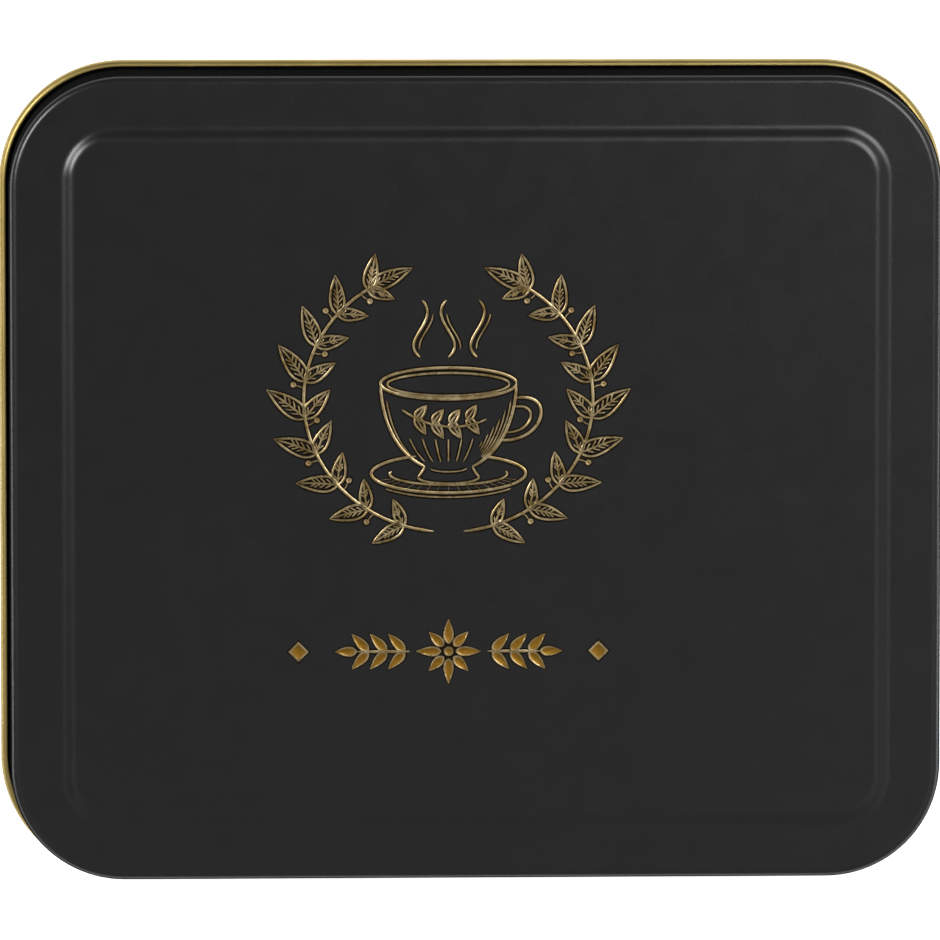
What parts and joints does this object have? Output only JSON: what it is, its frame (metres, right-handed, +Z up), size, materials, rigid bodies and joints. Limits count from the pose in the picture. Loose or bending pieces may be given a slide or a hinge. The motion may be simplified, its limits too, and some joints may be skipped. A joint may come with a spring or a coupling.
{
  "type": "tea bag organizer box",
  "caption": "Rectangular tinplate box with rounded corners, inner dividers for tea bags and a lift-off lid with a raised panel and a rolled hem.",
  "frame": {"origin": "centre of the face that the box stands on", "axes": "+X across the box's longer side, to the right as seen from the front; +Y to the back; +Z up, the way the lid lifts"},
  "size_m": [0.2044, 0.1774, 0.0702],
  "materials": {
    "black_coat": "matte black stoved coat on tinplate, fine orange-peel texture",
    "gold_lacquer": "satin gold lacquer on tinplate",
    "gold_foil": "thin stamped gold foil on the coat, slightly uneven"
  },
  "bodies": {
    "box": {"body_wall": "black_coat", "base_panel": "gold_lacquer", "long_divider": "gold_lacquer", "cross_divider_left": "gold_lacquer", "cross_divider_right": "gold_lacquer"},
    "lid": {"lid": "black_coat"}
  },
  "joints": [
    {"name": "lid_lift", "type": "slide", "parent": "box", "child": "lid", "axis": [0, 0, 1], "range_m": [0, 0.1]}
  ]
}
